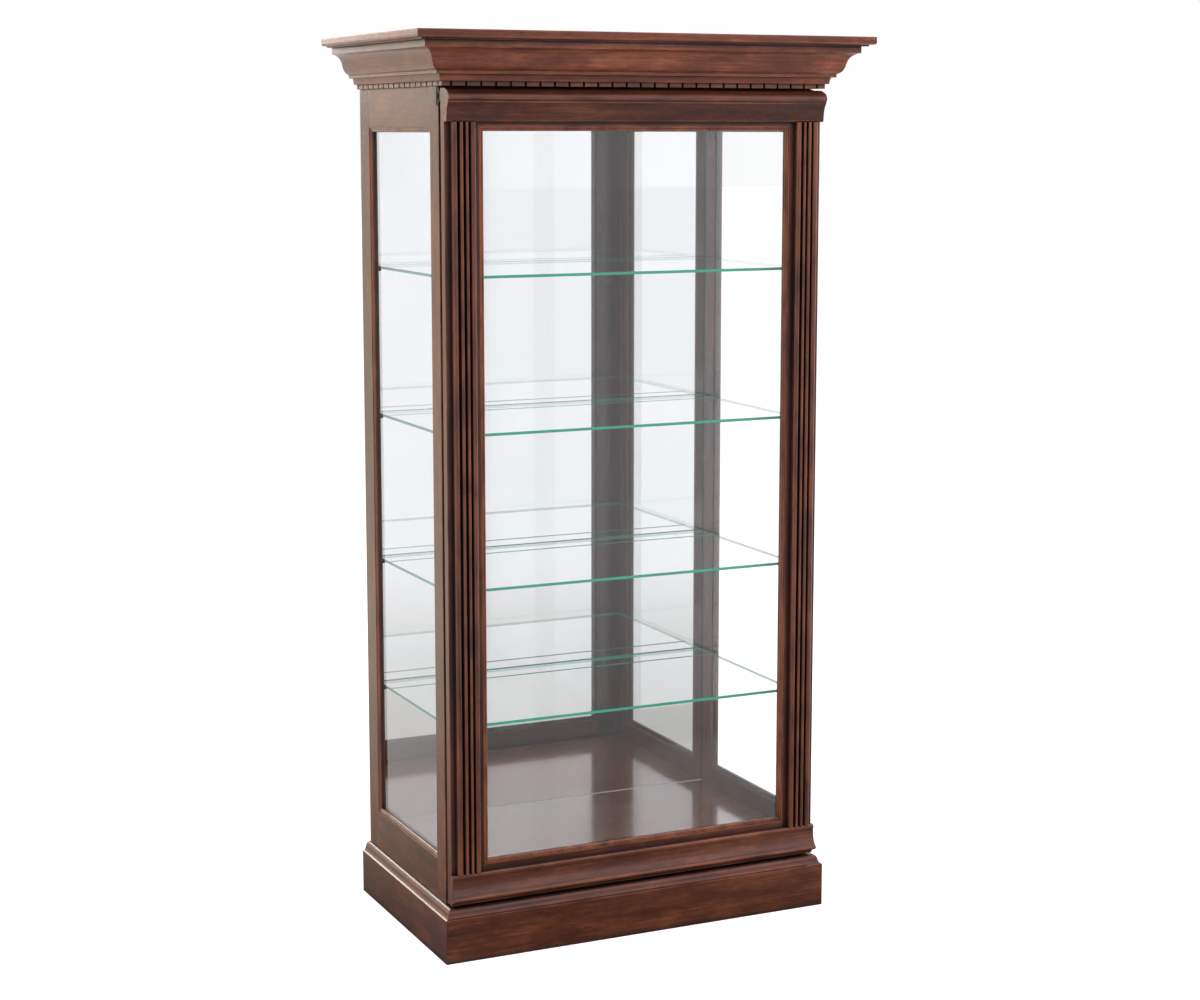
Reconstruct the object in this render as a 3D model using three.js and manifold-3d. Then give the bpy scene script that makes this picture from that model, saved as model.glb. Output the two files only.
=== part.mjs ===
// Curio cabinet: a mahogany display case with glass sides, a mirrored back, four adjustable
// glass shelves and a full-height front door that slides left or right on telescopic slides.
//
// Millimetres. Origin at the centre of the footprint on the floor, +Z up, +Y to the back,
// +X to the right of a person who faces the door.
//
// Touching pieces share a plane whose coordinate is a multiple of 1/8 mm. Mitred ends and
// pieces that sit in a pocket keep a small gap.

import * as THREE from 'three';
import { mergeVertices } from 'three/addons/utils/BufferGeometryUtils.js';
import Module from 'manifold-3d';

const wasm = await Module();
wasm.setup();

// ---------------------------------------------------------------- driving dimensions

const TOTAL_HEIGHT = 2032;
const TOTAL_WIDTH = 1096;
const TOTAL_DEPTH = 628;

const CASE_WIDTH = 915;
const BACK_Y = TOTAL_DEPTH / 2;
const CASE_FRONT_Y = -190;
const CASE_TOP_Z = 1917.5;
const BOARD = 19; // solid timber thickness
const MITRE_GAP = 0.15; // each mitred end stands back this far
const REVEAL = 0.5; // play round a loose panel

const PLINTH_HALF_WIDTH = 477.5;
const PLINTH_FRONT_Y = -244;
const PLINTH_TOP_Z = 121.5;
const PLINTH_FACE_TOP_Z = 100;
const PLINTH_BOARD = 22;
const PLINTH_LEDGE = 60; // depth of the ledge that carries the case

// Profiles are lists of corners. { bend, to } is a curve to a point, pulled towards another.
// The base moulding's top edge, as [inset from the face, height above it].
const PLINTH_EDGE = [
  [4, 1.5], // narrow shelf
  { bend: [7, 5], to: [8, 11] }, // cove
  { bend: [10, 19.5], to: [17, 21.5] }, // round that meets the ledge
];

const FRONT_STILE_WIDTH = 49;
const REAR_STILE_WIDTH = 62;
const SIDE_OPENING_BOTTOM_Z = 212;
const SIDE_OPENING_TOP_Z = 1830;
const BEAD_WIDTH = 10;
const BEAD_NOSE = [[0, 7], [1, 4.5], [3.5, 2.5], [6, 1.5], [8, 1.5], [10, 1.5]]; // [set back, set down]
const SIDE_BEAD_DEPTH = 12;
const SIDE_GLASS = 4;

const FLOOR_TOP_Z = 168;
const MIRROR_FRONT_Y = 300;
const MIRROR_THICKNESS = 4;
const BACK_PANEL_THICKNESS = 6;

// Cornice sizes are insets from the top board's edge and depths below its top.
const TOP_BOARD_DEPTH = 21;
const TOP_BOARD_EDGE = [
  [0, 0], [0, 13],
  { bend: [0.2, 17], to: [5, 17.6] }, // small round
  [12.3, 18], [13, TOP_BOARD_DEPTH], // step down to the crown
];
const CROWN_BACK = 104;
const CROWN_PROFILE = [
  [25, TOP_BOARD_DEPTH], [25, 36], // upper fillet
  [30, 36.5],
  { bend: [46, 42], to: [49.5, 61] }, // large cove
  { bend: [52.5, 77.5], to: [65, 82.5] }, // round under it
  [65, 89.3], // lower fillet
  [73, 89.8],
  { bend: [75.5, 91.5], to: [76, 97] }, // small cove
  [77, 104],
  [CROWN_BACK, 104], [CROWN_BACK, TOP_BOARD_DEPTH],
];
const DENTIL_INSET = 83.75;
const DENTIL_TOP = 104;
const DENTIL_PITCH = 34.1;
const DENTIL_SLOT = 5;
const DENTIL_SLOT_DEPTH = 6;
const FRONT_SLOTS = 27;
const SIDE_SLOTS = 16;
const SIDE_SLOTS_START = 21.5; // first side slot's distance from the front corner

const DOOR_BACK_Y = -203;
const DOOR_FACE_Y = DOOR_BACK_Y - BOARD;
const DOOR_BOTTOM_Z = 126.5;
const DOOR_TOP_Z = 1913.5;
const DOOR_OPENING_HALF_WIDTH = 376.5;
const DOOR_OPENING_BOTTOM_Z = 212;
const DOOR_OPENING_TOP_Z = 1833;
const DOOR_GLASS = 4;
const DOOR_GLASS_FRONT_Y = DOOR_FACE_Y + 9;
const PILASTER_BOTTOM_Z = 197;
const PILASTER_TOP_Z = 1843;
const PILASTER_INNER = 390;
const PILASTER_OUTER = 445;
const PILASTER_RISE = 17;
const PILASTER_ROOT = 4; // the reeded part starts this far inside the board
const PILASTER_RIDGES = [[PILASTER_INNER, 402.5], [407, 414], [419, 427.5], [432, PILASTER_OUTER]];
const PILASTER_CROWN = 6; // most that a ridge's round rises
const PILASTER_GROOVE_RISE = 5;
const PILASTER_GROOVE_MIDDLE = 2.5; // from the end of a ridge

// The door's mouldings, as [rise from the door's face, depth below the moulding's top].
const HEAD_PROFILE = [
  [0, 0],
  { bend: [14, 1.5], to: [24, 8.5] }, // sloping top
  { bend: [31.5, 14.5], to: [30.5, 22.5] }, // bold nose
  [27, 26], [27, 29.5], // thin fillet
  { bend: [19, 36.5], to: [16.5, 52.5] }, // cove
  [15, 67.5], [12.5, 70.5], [0, 70.5],
];
const FOOT_PROFILE = [
  [0, 0], [12, 0],
  { bend: [15.5, 5], to: [12, 11] }, // small nose
  { bend: [11.5, 34], to: [21, 46.5] }, // cove
  { bend: [27.5, 50], to: [26.5, 53.5] }, // round
  { bend: [24, 59], to: [14, 61] },
  { bend: [7.5, 63], to: [6, 70.5] }, // turned in to the bottom edge
  [0, 70.5],
];

const TOP_SLIDE_BOTTOM_Z = 1877;
const TOP_SLIDE_RECESS = 12;
const HEADER_THICKNESS = 31;

// Each slide member is a C channel: the y of its web and of its lips, and its z range.
const SLIDE_GAUGE = 2;
const SLIDE_MEMBERS = {
  top_slide_case_member: { web: CASE_FRONT_Y + TOP_SLIDE_RECESS, lip: -189, low: 1878, high: 1916 },
  top_slide_middle_member: { web: -182, lip: -196, low: 1883, high: 1911 },
  top_slide_door_member: { web: DOOR_BACK_Y, lip: -186, low: 1888, high: 1906 },
  bottom_slide_case_member: { web: CASE_FRONT_Y, lip: -200, low: 124, high: 165 },
  bottom_slide_door_member: { web: DOOR_BACK_Y, lip: -194, low: 130, high: 159 },
};

const SHELF_THICKNESS = 6.35;
const SHELF_HALF_WIDTH = 431.75;
const SHELF_FRONT_Y = -171.5;
const SHELF_REAR_Y = 298.5;
const SHELF_MID_Z = [1509.5, 1164.5, 819, 513.5];
const SHELF_ARRIS = 0.75;
const PLATE_GROOVE_TO_REAR = 74;
const PLATE_GROOVE_HALF_WIDTH = 3;
const PLATE_GROOVE_DEPTH = 2;
const PIN_RADIUS = 2.5;
const PIN_TIP = 1; // chamfer at the free end
const PIN_COLLAR_RADIUS = 4;
const PIN_COLLAR = 2; // thickness of the collar
const PIN_REACH = 12;
const PIN_CLEARANCE = 0.25;
const PIN_FRONT_Y = -158;
const PIN_REAR_Y = 268;

const CASE_HALF_WIDTH = CASE_WIDTH / 2;
const INNER_HALF_WIDTH = CASE_HALF_WIDTH - BOARD;

// ---------------------------------------------------------------- materials

const MAHOGANY = new THREE.MeshStandardMaterial({ color: 0x5c2f22, roughness: 0.28, metalness: 0 });
const MAHOGANY_FLOOR = new THREE.MeshStandardMaterial({ color: 0x4a2a20, roughness: 0.2, metalness: 0 });
const GLASS = new THREE.MeshStandardMaterial({
  color: 0xdff2ec, roughness: 0.02, metalness: 0, transparent: true, opacity: 0.25,
});
const SHELF_GLASS = new THREE.MeshStandardMaterial({
  color: 0x9fd8c4, roughness: 0.02, metalness: 0, transparent: true, opacity: 0.4,
});
const MIRROR = new THREE.MeshStandardMaterial({ color: 0xf2f5f6, roughness: 0.02, metalness: 1 });
const PLYWOOD = new THREE.MeshStandardMaterial({ color: 0x6b4634, roughness: 0.7, metalness: 0 });
const BLACK_STEEL = new THREE.MeshStandardMaterial({ color: 0x141416, roughness: 0.4, metalness: 0.8 });
const PIN_STEEL = new THREE.MeshStandardMaterial({ color: 0x1c1c1d, roughness: 0.35, metalness: 0.8 });

// ---------------------------------------------------------------- geometry helpers

const group = new THREE.Group();

function add(name, geometry, material) {
  const mesh = new THREE.Mesh(geometry, material);
  mesh.name = name;
  group.add(mesh);
  return mesh;
}

// A box from its low and high corners.
function box(low, high) {
  const size = high.map((value, i) => value - low[i]);
  const middle = high.map((value, i) => (value + low[i]) / 2);
  return new THREE.BoxGeometry(...size).translate(...middle);
}

// A closed mesh from rings of equal length. Neighbouring rings are joined by quads. The
// ends are capped with the given triangles, or the last ring joins the first.
function loft(rings, caps) {
  const count = rings[0].length;
  const positions = rings.flat(2);
  const index = [];
  const spans = caps ? rings.length - 1 : rings.length;
  for (let r = 0; r < spans; r += 1) {
    const here = r * count;
    const there = ((r + 1) % rings.length) * count;
    for (let i = 0; i < count; i += 1) {
      const j = (i + 1) % count;
      index.push(here + i, here + j, there + j, here + i, there + j, there + i);
    }
  }
  if (caps) {
    const last = (rings.length - 1) * count;
    for (const [a, b, c] of caps) {
      index.push(c, b, a, last + a, last + b, last + c);
    }
  }
  const geometry = new THREE.BufferGeometry();
  geometry.setAttribute('position', new THREE.Float32BufferAttribute(positions, 3));
  geometry.setIndex(index);
  return outward(geometry);
}

function signedVolume(geometry) {
  const p = geometry.attributes.position;
  const a = new THREE.Vector3();
  const b = new THREE.Vector3();
  const c = new THREE.Vector3();
  let volume = 0;
  for (let i = 0; i < geometry.index.count; i += 3) {
    a.fromBufferAttribute(p, geometry.index.getX(i));
    b.fromBufferAttribute(p, geometry.index.getX(i + 1));
    c.fromBufferAttribute(p, geometry.index.getX(i + 2));
    volume += a.dot(b.cross(c)) / 6;
  }
  return volume;
}

// Turns the faces out if they point in.
function outward(geometry) {
  if (signedVolume(geometry) < 0) {
    const index = geometry.index.array;
    for (let i = 0; i < index.length; i += 3) {
      [index[i], index[i + 1]] = [index[i + 1], index[i]];
    }
  }
  geometry.computeVertexNormals();
  return geometry;
}

// Triangles of a flat outline of [u, v] points, wound the way the outline is.
function triangulate(outline) {
  const points = outline.map(([u, v]) => new THREE.Vector2(u, v));
  const triangles = THREE.ShapeUtils.triangulateShape(points, []);
  return THREE.ShapeUtils.isClockWise(points) ? triangles.map(([a, b, c]) => [c, b, a]) : triangles;
}

// A length of moulding. Its section is a list of [inset, z] points; place(end, inset)
// gives the [x, y] of a section point at each end, so an end can be square or mitred.
function moulding(section, place) {
  const rings = [0, 1].map((end) => section.map(([inset, z]) => [...place(end, inset), z]));
  return loft(rings, triangulate(section));
}

// A straight length along X of a [y, z] section.
function alongX(section, lowX, highX) {
  const rings = [lowX, highX].map((x) => section.map(([y, z]) => [x, y, z]));
  return loft(rings, triangulate(section));
}

// A straight length along Z of an [x, y] section.
function alongZ(section, lowZ, highZ) {
  const rings = [lowZ, highZ].map((z) => section.map(([x, y]) => [x, y, z]));
  return loft(rings, triangulate(section));
}

// Points of a profile, with each of its curves cut into a few steps.
function profilePoints([start, ...rest], steps) {
  const path = new THREE.Path();
  path.moveTo(...start);
  for (const step of rest) {
    if (step.bend) path.quadraticCurveTo(...step.bend, ...step.to);
    else path.lineTo(...step);
  }
  return path.getPoints(steps).map(({ x, y }) => [x, y]);
}

function toSolid(geometry) {
  const bare = geometry.clone();
  bare.deleteAttribute('normal');
  bare.deleteAttribute('uv');
  const merged = mergeVertices(bare, 1e-5);
  return new wasm.Manifold(new wasm.Mesh({
    numProp: 3,
    vertProperties: new Float32Array(merged.attributes.position.array),
    triVerts: new Uint32Array(merged.index.array),
  }));
}

function fromSolid(solid) {
  const { vertProperties, triVerts } = solid.getMesh();
  const geometry = new THREE.BufferGeometry();
  geometry.setAttribute('position', new THREE.Float32BufferAttribute(vertProperties, 3));
  geometry.setIndex([...triVerts]);
  return outward(geometry);
}

// ---------------------------------------------------------------- plinth

// Section of the base moulding, as [inset from the face, z]: a plain board with a moulded
// top edge and a ledge behind it.
function plinthSection() {
  const edge = profilePoints([[0, 0], ...PLINTH_EDGE], 4)
    .map(([inset, rise]) => [inset, PLINTH_FACE_TOP_Z + rise]);
  return [
    [0, 0], ...edge, [PLINTH_LEDGE, PLINTH_TOP_Z], [PLINTH_LEDGE, PLINTH_FACE_TOP_Z],
    [PLINTH_BOARD, PLINTH_FACE_TOP_Z], [PLINTH_BOARD, 0],
  ];
}

// Ends of a front run that is mitred at both corners.
function frontRun(halfWidth, frontY) {
  return (end, inset) => {
    const x = halfWidth - inset - MITRE_GAP;
    return [end ? x : -x, frontY + inset];
  };
}

// Ends of a side run: mitred at the front corner, square at the back.
function sideRun(side, halfWidth, frontY, rearY = BACK_Y) {
  return (end, inset) => {
    const y = end ? rearY : frontY + inset + MITRE_GAP;
    return [side * (halfWidth - inset), y];
  };
}

function buildPlinth() {
  const section = plinthSection();
  add('plinth_front', moulding(section, frontRun(PLINTH_HALF_WIDTH, PLINTH_FRONT_Y)), MAHOGANY);
  for (const [name, side] of [['left', -1], ['right', 1]]) {
    const run = sideRun(side, PLINTH_HALF_WIDTH, PLINTH_FRONT_Y);
    add(`plinth_${name}`, moulding(section, run), MAHOGANY);
  }
  const wide = PLINTH_HALF_WIDTH - PLINTH_BOARD - REVEAL;
  const narrow = PLINTH_HALF_WIDTH - PLINTH_LEDGE - REVEAL;
  const step = PLINTH_FACE_TOP_Z - REVEAL;
  const outline = [
    [-wide, 0], [wide, 0], [wide, step], [narrow, step],
    [narrow, PLINTH_TOP_Z], [-narrow, PLINTH_TOP_Z], [-narrow, step], [-wide, step],
  ];
  const rings = [BACK_Y - BOARD, BACK_Y].map((y) => outline.map(([x, z]) => [x, y, z]));
  add('plinth_back', loft(rings, triangulate(outline)), MAHOGANY);
}

// ---------------------------------------------------------------- case

// A rectangular ring swept round an opening. Each section point is [inset, depth]: inset
// grows into the opening, depth runs along the opening's axis. place turns the ring's
// own [u, v, depth] into x, y, z.
function openingBead(section, low, high, place) {
  const corners = [[-1, -1], [1, -1], [1, 1], [-1, 1]];
  const rings = corners.map(([su, sv]) => section.map(([inset, depth]) => {
    const u = su < 0 ? low[0] + inset : high[0] - inset;
    const v = sv < 0 ? low[1] + inset : high[1] - inset;
    return place(u, v, depth);
  }));
  return loft(rings, null);
}

// Section of a glass bead, as [inset, depth]: square at the back, with a rounded nose.
function beadSection(depth) {
  const nose = BEAD_NOSE.map(([back, down]) => [BEAD_WIDTH - back, depth - down]);
  return [[0, 0], [BEAD_WIDTH, 0], ...nose];
}

function buildSideFrame(name, side) {
  const inner = side * INNER_HALF_WIDTH;
  const outer = side * CASE_HALF_WIDTH;
  const low = Math.min(inner, outer);
  const high = Math.max(inner, outer);
  const openingFront = CASE_FRONT_Y + FRONT_STILE_WIDTH;
  const openingRear = BACK_Y - REAR_STILE_WIDTH;

  // The front stile is notched at the top for the door's upper slide.
  const notchY = CASE_FRONT_Y + TOP_SLIDE_RECESS;
  const stile = [
    [CASE_FRONT_Y, PLINTH_TOP_Z], [openingFront, PLINTH_TOP_Z], [openingFront, CASE_TOP_Z],
    [notchY, CASE_TOP_Z], [notchY, TOP_SLIDE_BOTTOM_Z], [CASE_FRONT_Y, TOP_SLIDE_BOTTOM_Z],
  ];
  add(`${name}_front_stile`, alongX(stile, low, high), MAHOGANY);
  add(`${name}_rear_stile`, box([low, openingRear, PLINTH_TOP_Z], [high, BACK_Y, CASE_TOP_Z]), MAHOGANY);
  add(`${name}_top_rail`,
    box([low, openingFront, SIDE_OPENING_TOP_Z], [high, openingRear, CASE_TOP_Z]), MAHOGANY);
  add(`${name}_bottom_rail`,
    box([low, openingFront, PLINTH_TOP_Z], [high, openingRear, SIDE_OPENING_BOTTOM_Z]), MAHOGANY);

  const glassOuter = side * (CASE_HALF_WIDTH - SIDE_BEAD_DEPTH);
  const glassInner = side * (CASE_HALF_WIDTH - SIDE_BEAD_DEPTH - SIDE_GLASS);
  add(`${name}_side_glass`, box(
    [Math.min(glassOuter, glassInner), openingFront + REVEAL, SIDE_OPENING_BOTTOM_Z + REVEAL],
    [Math.max(glassOuter, glassInner), openingRear - REVEAL, SIDE_OPENING_TOP_Z - REVEAL],
  ), GLASS);
  add(`${name}_glass_bead`, openingBead(
    beadSection(SIDE_BEAD_DEPTH),
    [openingFront, SIDE_OPENING_BOTTOM_Z],
    [openingRear, SIDE_OPENING_TOP_Z],
    (u, v, depth) => [glassOuter + side * depth, u, v],
  ), MAHOGANY);
}

function buildCase() {
  buildSideFrame('left', -1);
  buildSideFrame('right', 1);

  const headerBackY = CASE_FRONT_Y + HEADER_THICKNESS;
  const recessY = CASE_FRONT_Y + TOP_SLIDE_RECESS;
  const header = [
    [CASE_FRONT_Y, DOOR_OPENING_TOP_Z], [headerBackY, DOOR_OPENING_TOP_Z], [headerBackY, CASE_TOP_Z],
    [recessY, CASE_TOP_Z], [recessY, TOP_SLIDE_BOTTOM_Z], [CASE_FRONT_Y, TOP_SLIDE_BOTTOM_Z],
  ];
  add('front_header_rail', alongX(header, -INNER_HALF_WIDTH, INNER_HALF_WIDTH), MAHOGANY);
  add('front_sill_rail', box(
    [-INNER_HALF_WIDTH, CASE_FRONT_Y, PLINTH_TOP_Z],
    [INNER_HALF_WIDTH, CASE_FRONT_Y + BOARD, FLOOR_TOP_Z],
  ), MAHOGANY);
  const backPanelY = MIRROR_FRONT_Y + MIRROR_THICKNESS + REVEAL;
  add('floor_panel', box(
    [-INNER_HALF_WIDTH, CASE_FRONT_Y + BOARD, FLOOR_TOP_Z - BOARD],
    [INNER_HALF_WIDTH, backPanelY, FLOOR_TOP_Z],
  ), MAHOGANY_FLOOR);
  add('top_panel', box(
    [-INNER_HALF_WIDTH, headerBackY, CASE_TOP_Z - BOARD],
    [INNER_HALF_WIDTH, backPanelY, CASE_TOP_Z],
  ), MAHOGANY);
  add('mirror', box(
    [-INNER_HALF_WIDTH + REVEAL, MIRROR_FRONT_Y, FLOOR_TOP_Z],
    [INNER_HALF_WIDTH - REVEAL, MIRROR_FRONT_Y + MIRROR_THICKNESS, CASE_TOP_Z - BOARD - REVEAL],
  ), MIRROR);
  buildBackPanel(backPanelY);
}

// The back runs up behind the cornice, where it widens to fill the space between the
// crown's returns.
function buildBackPanel(frontY) {
  const neck = TOTAL_HEIGHT - DENTIL_TOP;
  const top = TOTAL_HEIGHT - TOP_BOARD_DEPTH;
  const wide = TOTAL_WIDTH / 2 - CROWN_BACK - REVEAL;
  const outline = [
    [-INNER_HALF_WIDTH, PLINTH_TOP_Z], [INNER_HALF_WIDTH, PLINTH_TOP_Z],
    [INNER_HALF_WIDTH, neck + REVEAL], [wide, neck + REVEAL], [wide, top],
    [-wide, top], [-wide, neck + REVEAL], [-INNER_HALF_WIDTH, neck + REVEAL],
  ];
  const rings = [frontY, frontY + BACK_PANEL_THICKNESS].map((y) => outline.map(([x, z]) => [x, y, z]));
  add('back_panel', loft(rings, triangulate(outline)), PLYWOOD);
}

// ---------------------------------------------------------------- cornice

// The board that closes the cornice: flat, with a small round and a step under its edge.
function buildTopBoard() {
  const half = TOTAL_WIDTH / 2;
  const rings = profilePoints(TOP_BOARD_EDGE, 3).map(([inset, depth]) => {
    const z = TOTAL_HEIGHT - depth;
    const x = half - inset;
    return [[-x, -BACK_Y + inset, z], [x, -BACK_Y + inset, z], [x, BACK_Y, z], [-x, BACK_Y, z]];
  });
  add('cornice_top_board', loft(rings, [[0, 1, 2], [0, 2, 3]]), MAHOGANY);
}

// One U-shaped strip round the front and both sides, with slots that leave the dentils.
function buildDentils() {
  const outerX = TOTAL_WIDTH / 2 - DENTIL_INSET;
  const outerY = -BACK_Y + DENTIL_INSET;
  const innerX = INNER_HALF_WIDTH + REVEAL;
  const innerY = CASE_FRONT_Y + REVEAL;
  const low = CASE_TOP_Z;
  const high = TOTAL_HEIGHT - DENTIL_TOP;
  const outline = [
    [-outerX, BACK_Y], [-outerX, outerY], [outerX, outerY], [outerX, BACK_Y],
    [innerX, BACK_Y], [innerX, innerY], [-innerX, innerY], [-innerX, BACK_Y],
  ];
  let strip = toSolid(alongZ(outline, low, high));
  const cut = (lowCorner, highCorner) => {
    strip = strip.subtract(toSolid(box(lowCorner, highCorner)));
  };
  for (let i = 0; i < FRONT_SLOTS; i += 1) {
    const x = (i - (FRONT_SLOTS - 1) / 2) * DENTIL_PITCH;
    cut(
      [x - DENTIL_SLOT / 2, outerY - 1, low - 1],
      [x + DENTIL_SLOT / 2, outerY + DENTIL_SLOT_DEPTH, high + 1],
    );
  }
  for (let i = 0; i < SIDE_SLOTS; i += 1) {
    const y = outerY + SIDE_SLOTS_START + i * DENTIL_PITCH;
    for (const side of [-1, 1]) {
      const faceX = side * (outerX + 1);
      const floorX = side * (outerX - DENTIL_SLOT_DEPTH);
      cut(
        [Math.min(faceX, floorX), y - DENTIL_SLOT / 2, low - 1],
        [Math.max(faceX, floorX), y + DENTIL_SLOT / 2, high + 1],
      );
    }
  }
  add('dentil_moulding', fromSolid(strip), MAHOGANY);
}

function buildCornice() {
  buildTopBoard();
  const section = profilePoints(CROWN_PROFILE, 6).map(([inset, depth]) => [inset, TOTAL_HEIGHT - depth]);
  add('crown_front', moulding(section, frontRun(TOTAL_WIDTH / 2, -BACK_Y)), MAHOGANY);
  for (const [name, side] of [['left', -1], ['right', 1]]) {
    add(`crown_${name}`, moulding(section, sideRun(side, TOTAL_WIDTH / 2, -BACK_Y)), MAHOGANY);
  }
  buildDentils();
}

// ---------------------------------------------------------------- door

// The reeded face of a pilaster from its inner to its outer edge, as [x, rise]. Two broad
// rounded shoulders stand either side of two narrow beads, with a V groove between each.
function pilasterFace() {
  const steps = 5;
  const points = [];
  for (const [from, to] of PILASTER_RIDGES) {
    const middle = (from + to) / 2;
    const radius = (to - from) / 2;
    const crown = Math.min(radius, PILASTER_CROWN);
    for (let i = 0; i <= steps; i += 1) {
      const angle = Math.PI * (1 - i / steps);
      points.push([middle + radius * Math.cos(angle), PILASTER_RISE - crown + crown * Math.sin(angle)]);
    }
    if (to < PILASTER_OUTER) points.push([to + PILASTER_GROOVE_MIDDLE, PILASTER_GROOVE_RISE]);
  }
  return points;
}

function buildDoorStile(name, side) {
  const low = side < 0 ? -CASE_HALF_WIDTH : DOOR_OPENING_HALF_WIDTH;
  const high = side < 0 ? -DOOR_OPENING_HALF_WIDTH : CASE_HALF_WIDTH;
  const board = box([low, DOOR_FACE_Y, DOOR_BOTTOM_Z], [high, DOOR_BACK_Y, DOOR_TOP_Z]);
  const face = pilasterFace().map(([x, rise]) => [side * x, DOOR_FACE_Y - rise]);
  const root = DOOR_FACE_Y + PILASTER_ROOT;
  const section = [[side * PILASTER_INNER, root], ...face, [side * PILASTER_OUTER, root]];
  const pilaster = alongZ(section, PILASTER_BOTTOM_Z + REVEAL, PILASTER_TOP_Z - REVEAL);
  add(name, fromSolid(toSolid(board).add(toSolid(pilaster))), MAHOGANY);
}

// A moulding across the door's whole face, from its profile and the z of its top.
function doorMoulding(profile, topZ) {
  const section = profilePoints(profile, 5).map(([rise, depth]) => [DOOR_FACE_Y - rise, topZ - depth]);
  return alongX(section, -CASE_HALF_WIDTH, CASE_HALF_WIDTH);
}

function buildDoor() {
  buildDoorStile('door_left_stile', -1);
  buildDoorStile('door_right_stile', 1);
  add('door_top_rail', box(
    [-DOOR_OPENING_HALF_WIDTH, DOOR_FACE_Y, DOOR_OPENING_TOP_Z],
    [DOOR_OPENING_HALF_WIDTH, DOOR_BACK_Y, DOOR_TOP_Z],
  ), MAHOGANY);
  add('door_bottom_rail', box(
    [-DOOR_OPENING_HALF_WIDTH, DOOR_FACE_Y, DOOR_BOTTOM_Z],
    [DOOR_OPENING_HALF_WIDTH, DOOR_BACK_Y, DOOR_OPENING_BOTTOM_Z],
  ), MAHOGANY);
  add('door_top_moulding', doorMoulding(HEAD_PROFILE, DOOR_TOP_Z), MAHOGANY);
  add('door_bottom_moulding', doorMoulding(FOOT_PROFILE, PILASTER_BOTTOM_Z), MAHOGANY);
  add('door_glass', box(
    [-DOOR_OPENING_HALF_WIDTH + REVEAL, DOOR_GLASS_FRONT_Y, DOOR_OPENING_BOTTOM_Z + REVEAL],
    [DOOR_OPENING_HALF_WIDTH - REVEAL, DOOR_GLASS_FRONT_Y + DOOR_GLASS, DOOR_OPENING_TOP_Z - REVEAL],
  ), GLASS);
  add('door_glass_bead', openingBead(
    beadSection(DOOR_GLASS_FRONT_Y - DOOR_FACE_Y),
    [-DOOR_OPENING_HALF_WIDTH, DOOR_OPENING_BOTTOM_Z],
    [DOOR_OPENING_HALF_WIDTH, DOOR_OPENING_TOP_Z],
    (u, v, depth) => [u, DOOR_GLASS_FRONT_Y - depth, v],
  ), MAHOGANY);
}

// ---------------------------------------------------------------- slides

// A C channel in section, as [y, z].
function channel({ web, lip, low, high }) {
  const inside = web + Math.sign(lip - web) * SLIDE_GAUGE;
  return [
    [web, low], [lip, low], [lip, low + SLIDE_GAUGE], [inside, low + SLIDE_GAUGE],
    [inside, high - SLIDE_GAUGE], [lip, high - SLIDE_GAUGE], [lip, high], [web, high],
  ];
}

function buildSlides() {
  const end = CASE_HALF_WIDTH - REVEAL;
  for (const [name, member] of Object.entries(SLIDE_MEMBERS)) {
    add(name, alongX(channel(member), -end, end), BLACK_STEEL);
  }
}

// ---------------------------------------------------------------- shelves

// A shelf's section, as [y, z], with a shallow V groove near the back for standing plates.
function shelfSection(lowZ, highZ) {
  const front = SHELF_FRONT_Y;
  const rear = SHELF_REAR_Y;
  const arris = SHELF_ARRIS;
  const groove = rear - PLATE_GROOVE_TO_REAR;
  return [
    [front + arris, lowZ], [rear - arris, lowZ], [rear, lowZ + arris],
    [rear, highZ - arris], [rear - arris, highZ], [groove + PLATE_GROOVE_HALF_WIDTH, highZ],
    [groove, highZ - PLATE_GROOVE_DEPTH], [groove - PLATE_GROOVE_HALF_WIDTH, highZ],
    [front + arris, highZ], [front, highZ - arris], [front, lowZ + arris],
  ];
}

// A shelf pin: a plain peg with a collar that meets the stile.
function pinGeometry(side) {
  const profile = [
    [0, 0], [PIN_COLLAR_RADIUS, 0], [PIN_COLLAR_RADIUS, PIN_COLLAR], [PIN_RADIUS, PIN_COLLAR],
    [PIN_RADIUS, PIN_REACH - PIN_TIP], [PIN_RADIUS - PIN_TIP, PIN_REACH], [0, PIN_REACH],
  ];
  const geometry = new THREE.LatheGeometry(profile.map(([r, along]) => new THREE.Vector2(r, along)), 16);
  return geometry.rotateZ(side < 0 ? -Math.PI / 2 : Math.PI / 2);
}

function buildShelves() {
  SHELF_MID_Z.forEach((middle, i) => {
    const low = middle - SHELF_THICKNESS / 2;
    const high = middle + SHELF_THICKNESS / 2;
    const label = `shelf_${i + 1}`;
    add(label, alongX(shelfSection(low, high), -SHELF_HALF_WIDTH, SHELF_HALF_WIDTH), SHELF_GLASS);
    for (const [sideName, side] of [['left', -1], ['right', 1]]) {
      for (const [endName, y] of [['front', PIN_FRONT_Y], ['rear', PIN_REAR_Y]]) {
        const pin = add(`${label}_pin_${sideName}_${endName}`, pinGeometry(side), PIN_STEEL);
        const x = side * (INNER_HALF_WIDTH - PIN_CLEARANCE / 2);
        pin.position.set(x, y, low - PIN_RADIUS - PIN_CLEARANCE);
      }
    }
  });
}

buildPlinth();
buildCase();
buildCornice();
buildDoor();
buildSlides();
buildShelves();

export default group;
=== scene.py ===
"""Curio cabinet in Blender: fine pieces, finishes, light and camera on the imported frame.

Sections are written in millimetres and become metres when their mesh is made. Pieces are
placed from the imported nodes' boxes.
"""

import math
import random

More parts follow.
